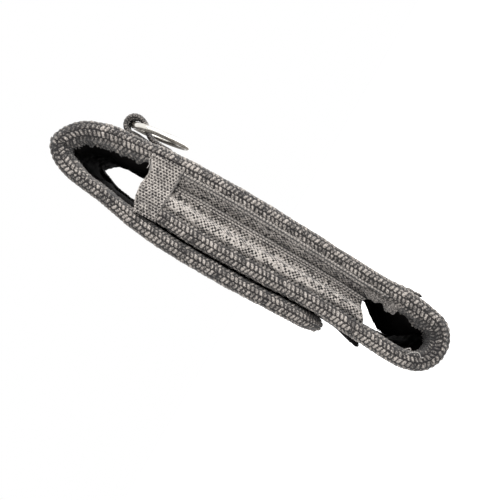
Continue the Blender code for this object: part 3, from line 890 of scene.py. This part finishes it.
def yarn(name, dark, light, speck=0.6, pitch=0.42, sheen=0.2):
    """Two-tone yarn whose light and dark follow the relief, with fibres that vary inside each grain.

    Where the mesh asks for it, a close plain weave of light and dark threads takes the relief's place.
    """
    look = Look(name, Sheen_Weight=sheen, Sheen_Roughness=0.6, Specular_IOR_Level=0.2)
    flat, parts = look.weave()
    fibre = look.noise(flat, 1 / pitch, 3.0)
    hair = look.noise(flat, 3.2 / pitch, 2.0)
    cloud = look.noise(flat, 0.09, 2.0)
    patchy = look.noise(flat, 0.8, 3.0)
    close = look.add("Attribute", "Fac", attribute_name="fine")
    waves = [look.math("SINE", look.math("MULTIPLY", parts[k], math.pi / WEAVE)) for k in (0, 1)]
    check = look.spread(look.math("MULTIPLY", *waves), -0.5, 0.5)
    mottle = look.spread(patchy, 0.35, 0.65, -0.25, 0.3)
    counted = look.add("VectorMath", inputs={0: flat, 1: (1 / WEAVE, 1 / WEAVE, 0)}, operation="MULTIPLY")
    crossing = look.add("VectorMath", inputs={0: counted}, operation="FLOOR")
    salt = look.spread(look.add("TexWhiteNoise", inputs={"Vector": crossing}), 0.0, 1.0, -0.6, 0.6)
    plain = look.math("ADD", look.math("ADD", look.math("MULTIPLY", check, 0.95), mottle), salt)
    threads = look.spread(plain, 0.0, 1.0, 0.03, 1.32)
    pattern = look.math("ADD", look.math("MULTIPLY", close, look.math("SUBTRACT", threads, 1.0)), 1.0)
    amount = look.math("MULTIPLY", parts[2], look.spread(fibre, 0.4, 0.6, 1 - speck, 1 + speck))
    amount = look.math("MULTIPLY", amount, look.spread(hair, 0.3, 0.7, 0.75, 1.2))
    amount = look.math("MULTIPLY", amount, look.spread(cloud, 0.3, 0.7, 0.85, 1.12))
    amount = look.math("MULTIPLY", amount, pattern)
    colour = look.mix(look.spread(amount, 0.1, 1.0), dark, light)
    height = look.math("ADD", amount, look.math("MULTIPLY", hair, 0.6))
    rough = look.spread(fibre, 0.3, 0.7, 0.75, 0.95)
    return look.finish(colour, height, 0.6, 0.00015, rough)


def panel_cloth():
    """Tweed-like woven cloth of the padded faces: short light and dark threads."""
    look = Look("panel_cloth", Sheen_Weight=0.2, Sheen_Roughness=0.6, Specular_IOR_Level=0.25)
    flat, _ = look.weave()
    wobble = look.add("TexNoise", "Color", inputs={"Vector": flat, "Scale": 0.9, "Detail": 1.0})
    small = look.add("VectorMath", inputs={0: wobble, 1: (0.35, 0.35, 0)}, operation="MULTIPLY")
    place = look.add("VectorMath", inputs={0: flat, 1: small}, operation="ADD")
    inputs = {
        "Vector": place,
        "Scale": 1.0,
        "Color1": rgb(0.03, 0.028, 0.027),
        "Color2": rgb(0.34, 0.32, 0.3),
        "Mortar": rgb(0.006, 0.006, 0.006),
        "Mortar Size": 0.09,
        "Mortar Smooth": 0.8,
        "Bias": -0.25,
        "Brick Width": 1.05,
        "Row Height": 0.5,
    }
    threads, gaps = look.node("TexBrick", inputs)[:2]
    fibre = look.noise(flat, 3.0, 3.0)
    cloud = look.noise(flat, 0.07, 2.0)
    patchy = look.spread(cloud, 0.3, 0.7, 0.85, 1.15)
    shade = look.math("MULTIPLY", look.spread(fibre, 0.3, 0.7, 0.6, 1.3), patchy)
    tint = look.add("CombineColor", inputs={0: shade, 1: shade, 2: shade})
    colour = look.add("VectorMath", inputs={0: threads, 1: tint}, operation="MULTIPLY")
    height = look.math("SUBTRACT", look.math("MULTIPLY", fibre, 0.5), gaps)
    return look.finish(colour, height, 0.7, 0.0002, look.spread(fibre, 0.3, 0.7, 0.7, 0.95))


def lining_cloth():
    """Black lining: a fine close weave with a dull sheen."""
    look = Look("lining_cloth", Specular_IOR_Level=0.04)
    flat, _ = look.weave()
    inputs = {
        "Vector": flat,
        "Scale": 1.0,
        "Brick Width": 0.7,
        "Row Height": 0.35,
        "Mortar Size": 0.05,
        "Mortar Smooth": 1.0,
    }
    gaps = look.add("TexBrick", 1, inputs)
    cloud = look.noise(flat, 0.3, 3.0)
    colour = look.mix(cloud, rgb(0.002, 0.0018, 0.0018), rgb(0.0045, 0.004, 0.004))
    return look.finish(colour, gaps, 0.3, 0.0001, look.spread(cloud, 0.3, 0.7, 0.7, 0.85))


def pile():
    """Black hook-and-loop pile: matted short fibres."""
    look = Look("pile", Sheen_Weight=0.01, Sheen_Roughness=0.5, Specular_IOR_Level=0.05)
    flat, parts = look.weave()
    fibre = look.noise(flat, 5.0, 4.0)
    amount = look.math("MULTIPLY", parts[2], look.spread(fibre, 0.35, 0.65))
    colour = look.mix(amount, rgb(0.0015, 0.0015, 0.0015), rgb(0.008, 0.0075, 0.0075))
    return look.finish(colour, fibre, 1.0, 0.0003, look.spread(fibre, 0.3, 0.7, 0.85, 1.0))


def thread():
    """Light twisted sewing thread."""
    look = Look("thread", Sheen_Weight=0.2, Specular_IOR_Level=0.3)
    flat, _ = look.weave()
    inputs = {"Vector": flat, "Scale": 0.9, "Distortion": 0.5}
    twist = look.add("TexWave", inputs=inputs, bands_direction="DIAGONAL")
    fibre = look.noise(flat, 6.0, 3.0)
    colour = look.mix(look.math("MULTIPLY", twist, fibre), rgb(0.16, 0.15, 0.14), rgb(0.62, 0.58, 0.54))
    return look.finish(colour, twist, 0.5, 0.0001, look.spread(fibre, 0.3, 0.7, 0.55, 0.8))


def nickel():
    """Polished nickel plate with fine wear."""
    look = Look("nickel", Metallic=1.0)
    flat, _ = look.weave()
    stretched = look.add("VectorMath", inputs={0: flat, 1: (0.35, 4.0, 1.0)}, operation="MULTIPLY")
    scratch = look.noise(stretched, 2.0, 4.0)
    worn = look.noise(flat, 0.35, 3.0)
    colour = look.mix(look.spread(worn, 0.35, 0.65), rgb(0.78, 0.75, 0.69), rgb(0.93, 0.91, 0.86))
    scratched = look.spread(scratch, 0.4, 0.75, 0.1, 0.24)
    rough = look.math("ADD", scratched, look.spread(worn, 0.4, 0.7, 0.0, 0.08))
    return look.finish(colour, scratch, 0.12, 0.00004, rough)


LOOKS = {
    "cloth": panel_cloth(),
    "tape": yarn("tape_yarn", rgb(0.006, 0.005, 0.005), rgb(0.37, 0.332, 0.3)),
    "gusset": yarn("gusset_yarn", rgb(0.006, 0.005, 0.005), rgb(0.43, 0.392, 0.358), speck=0.5),
    "lining": lining_cloth(),
    "pile": pile(),
    "thread": thread(),
    "metal": nickel(),
}


# Pieces


def bound_strip():
    """Bindings, panels and linings: one set up to the crown's top, and one on to the flap's end."""
    for number, (word, side) in enumerate((("left", -1), ("right", 1))):
        edge = side_edge(HEM + 0.2, CUT_S, side)
        name = "edge_tape_" + word
        nodes = ["side_binding_" + word, "crown_binding_" + word]
        over_lift(piece(name, binding(name, edge, 3 * number), LOOKS["tape"], nodes))
        rows = np.concatenate([seam(edge, 1), seam(edge, -1)])
        name = "edge_stitches_" + word
        over_lift(piece(name, thread_mesh(name, rows), LOOKS["thread"]))
    edge = flap_edge(CUT_S + JOIN_GAP)
    mesh = binding("flap_tape", edge, 8, squeeze=flap_end_shape)
    nodes = ["flap_binding", "crown_binding_left", "crown_binding_right"]
    over_fold(piece("flap_tape", mesh, LOOKS["tape"], nodes))
    rows = np.concatenate([seam(edge, face, squeeze=flap_end_shape) for face in (1, -1)])
    over_fold(piece("flap_stitches", thread_mesh("flap_stitches", rows), LOOKS["thread"]))
    body = ["body_fabric", "body_foam", "body_lining"]
    crown = ["crown_fabric", "crown_foam", "crown_lining"]
    flap = ["flap_fabric", "flap_foam", "flap_lining"]
    swept_panels("pouch", PANEL_IN, CUT_S, 0, over_lift, body + crown)
    end = STRIP.length - PANEL_IN
    swept_panels("flap", CUT_S + JOIN_GAP, end, CORNER - PANEL_IN, over_fold, flap + crown)


def side_gussets():
    low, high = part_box("gusset_bottom_hem_right")[0].z / MM, MOUTH
    for word, side in (("left", -1), ("right", 1)):
        nodes = ["gusset_" + word, "gusset_top_hem_" + word, "gusset_bottom_hem_" + word]
        mesh = gusset_mesh("gusset_cloth_" + word, side, low, high)
        piece("gusset_cloth_" + word, mesh, LOOKS["gusset"], nodes, "pouch")
        mesh = tuck_mesh("gusset_tuck_" + word, side)
        piece("gusset_tuck_" + word, mesh, LOOKS["gusset"], body="pouch")
    piece("mouth_hem_cloth", mouth_hem_mesh(), LOOKS["gusset"], ["mouth_hem"], "pouch")


def lifted(points, way, rise, reach):
    """A layer's line whose low end curls up off what it lies on."""
    points = np.array(points)
    points[:, 0] += way * rise * (1 - ease(points[:, 1], points[:, 1].min(), points[:, 1].min() + reach))
    return points


def patches():
    for node, body, thick, curl in (("loop_patch", "pouch", 1.7, 0.3), ("hook_patch", "flap", 0.6, 0.0)):
        name = node.replace("patch", "pile")
        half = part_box(node)[1].x / MM
        line = Line(lifted(layer_middle(node), -1, curl, 10.0))
        mesh = layer_mesh(name, line, half, thick, pile_relief(0.3, 81))
        piece(name, mesh, LOOKS["pile"], [node], body)


def stitch_row(start, end, pitch=2.6, length=2.0):
    """Stitches in a straight row between two (x, s) points: each a row of (x, s, height) points."""
    start, end = np.array(start, float), np.array(end, float)
    reach = np.linalg.norm(end - start)
    count = max(1, int(reach // pitch))
    offset = (reach - (count - 1) * pitch - length) / 2
    marks = offset + pitch * np.arange(count)[:, None] + np.linspace(0, length, 6)[None, :]
    flat = start + (end - start) / reach * marks[..., None]
    rise = 0.1 - 0.3 * (2 * np.linspace(0, 1, 6) - 1) ** 4
    return np.concatenate([flat, np.broadcast_to(rise[None, :, None], (*marks.shape, 1))], -1)


def belt_strap():
    """The strap on the back, sewn down at each end with a crossed box of stitches."""
    line = Line(lifted(layer_middle("belt_strap"), 1, 1.1, 12.0))
    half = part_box("belt_strap")[1].x / MM
    mesh = layer_mesh("belt_webbing", line, half, 1.4, webbing_relief(91, shade=0.9), spacing=0.4)
    piece("belt_webbing", mesh, LOOKS["tape"], ["belt_strap"], "pouch")
    for node in ("strap_stitching_lower", "strap_stitching_upper"):
        low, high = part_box(node)
        bottom, top = (float(np.interp(z / MM, line.p[:, 1], line.s)) for z in (low.z, high.z))
        right = high.x / MM
        left = -right
        ends = [((left, bottom), (right, bottom)), ((right, bottom), (right, top))]
        ends += [((right, top), (left, top)), ((left, top), (left, bottom))]
        ends += [((left, bottom), (right, top)), ((right, bottom), (left, top))]
        rows = np.concatenate([stitch_row(a, b) for a, b in ends])
        places = line.at(rows[..., 1], 0.78 + rows[..., 2])
        rows = np.concatenate([rows[..., :1], places], -1)
        name = node.replace("stitching", "stitches")
        piece(name, thread_mesh(name, rows, 0.22), LOOKS["thread"], [node], "pouch")


def stray_threads():
    """Loose ends of sewing thread at the mouth and in the bottom corner."""
    for word, side in (("left", -1), ("right", 1)):
        rows = []
        for number, points in enumerate(STRAY):
            path = np.array([(side * (HALF + out), y, z) for out, y, z in points])
            share = np.linspace(0, len(path) - 1, 22)
            rows.append(np.stack([np.interp(share, range(len(path)), path[:, k]) for k in range(3)], -1))
            rows[-1][1:-1] = (rows[-1][:-2] + 2 * rows[-1][1:-1] + rows[-1][2:]) / 4
        mesh = thread_mesh("stray_threads_" + word, rows, 0.14)
        piece("stray_threads_" + word, mesh, LOOKS["thread"], body="pouch")


def ring_and_loop():
    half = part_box("ring_loop")[1].x / MM
    # The loop's webbing is darkened to 0.62 of the tape's tone: painted shade under the ring.
    relief = webbing_relief(95, rib=1.0, column=1.5, shade=0.62)
    mesh = layer_mesh("loop_webbing", loop_line(), half, LOOP_THICK, relief, spacing=0.25, rounding=0.7)
    piece("loop_webbing", mesh, LOOKS["tape"], ["ring_loop"], "pouch")
    piece("metal_ring", ring_mesh("metal_ring"), LOOKS["metal"], ["carry_ring"], "ring")


# Stage

AMBIENT = 0.45


def light(name, direction, distance, size, power, target=(0, 0, 0.07)):
    """A square soft light, shining at the target from a direction."""
    data = bpy.data.lights.new(name, "AREA")
    data.size = size
    data.energy = power
    lamp = bpy.data.objects.new(name, data)
    bpy.context.scene.collection.objects.link(lamp)
    way = Vector(direction).normalized()
    lamp.location = Vector(target) + way * distance
    lamp.rotation_euler = way.to_track_quat("Z", "Y").to_euler()


def seen_white(tree):
    """Strength of a white surround: full where it is seen, less in the light that it sheds."""
    path = tree.nodes.new("ShaderNodeLightPath")
    seen = tree.nodes.new("ShaderNodeMath")
    seen.operation = "MAXIMUM"
    tree.links.new(path.outputs["Is Camera Ray"], seen.inputs[0])
    tree.links.new(path.outputs["Is Glossy Ray"], seen.inputs[1])
    strength = tree.nodes.new("ShaderNodeMapRange")
    strength.inputs["To Min"].default_value = AMBIENT
    tree.links.new(seen.outputs[0], strength.inputs["Value"])
    return strength.outputs[0]


def stage():
    """White studio: a pale floor, a white surround and two soft lights, the stronger one at the back."""
    world = bpy.data.worlds.new("studio")
    bpy.context.scene.world = world
    world.use_nodes = True
    surround = world.node_tree.nodes["Background"]
    surround.inputs["Color"].default_value = rgb(1, 1, 1)
    world.node_tree.links.new(seen_white(world.node_tree), surround.inputs["Strength"])
    mesh = bpy.data.meshes.new("floor")
    reach = 3.0
    places = [(x * reach, y * reach, 0) for x, y in ((-1, -1), (1, -1), (1, 1), (-1, 1))]
    mesh.from_pydata(places, [], [(0, 1, 2, 3)])
    floor = bpy.data.objects.new("floor", mesh)
    bpy.context.scene.collection.objects.link(floor)
    look = Look("floor", Roughness=0.9)
    look.tree.links.new(seen_white(look.tree), look.shader.inputs["Emission Strength"])
    where = look.add("TexCoord", "Object")
    grain = look.noise(where, 60.0, 3.0)
    look.set(look.shader, {"Emission Color": rgb(1, 1, 1)})
    look.finish(look.mix(grain, rgb(0.72, 0.72, 0.72), rgb(0.78, 0.78, 0.78)), grain, 0.1, 0.0005)
    mesh.materials.append(look.material)
    light("key", (0.5, 0.75, 0.48), 0.65, 0.45, 7.2)
    light("fill", (0.6, -0.9, 0.3), 0.8, 0.6, 3.6)


def camera():
    """Level camera at the pouch's right side, rolled so that its back panel is uppermost."""
    data = bpy.data.cameras.new("camera")
    data.lens = 65.3
    data.sensor_width = 36
    data.clip_start = 0.01
    cam = bpy.data.objects.new("camera", data)
    bpy.context.scene.collection.objects.link(cam)
    roll = math.radians(30.5)
    right = Vector((0, math.sin(roll), -math.cos(roll)))
    up = Vector((0, math.cos(roll), math.sin(roll)))
    turn = Matrix((right, up, right.cross(up))).transposed()
    cam.matrix_world = Matrix.Translation((0.324, -0.0036, 0.0704)) @ turn.to_4x4()
    bpy.context.scene.camera = cam
    bpy.context.scene.view_settings.view_transform = "Standard"


camera()
bound_strip()
side_gussets()
patches()
belt_strap()
ring_and_loop()
stray_threads()
stage()
